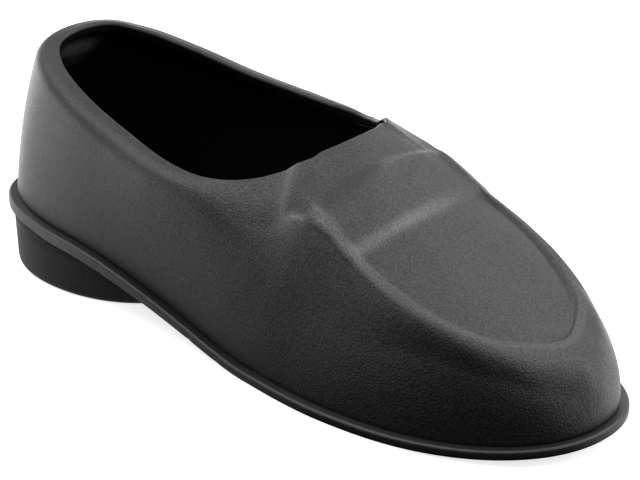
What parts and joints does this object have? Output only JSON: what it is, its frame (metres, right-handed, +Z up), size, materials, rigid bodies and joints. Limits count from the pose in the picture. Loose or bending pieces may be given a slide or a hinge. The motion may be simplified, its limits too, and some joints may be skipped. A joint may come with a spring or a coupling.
{
  "type": "overshoe",
  "caption": "Low slip-on overshoe in black moulded rubber, with a saddle strap and apron ridge in the upper, a flanged sole and an oval heel.",
  "frame": {"origin": "on the floor, under the middle of the sole's length and width", "axes": "+X towards the toe, +Y towards the outer side of this left shoe, +Z up"},
  "size_m": [0.3, 0.1112, 0.0936],
  "materials": {
    "upper_rubber": "satin, fine leather grain outside, smooth inside",
    "outsole_rubber": "satin, smooth",
    "heel_rubber": "satin, smooth"
  },
  "bodies": {
    "root": {"upper": "upper_rubber", "outsole": "outsole_rubber", "heel": "heel_rubber"}
  },
  "joints": []
}
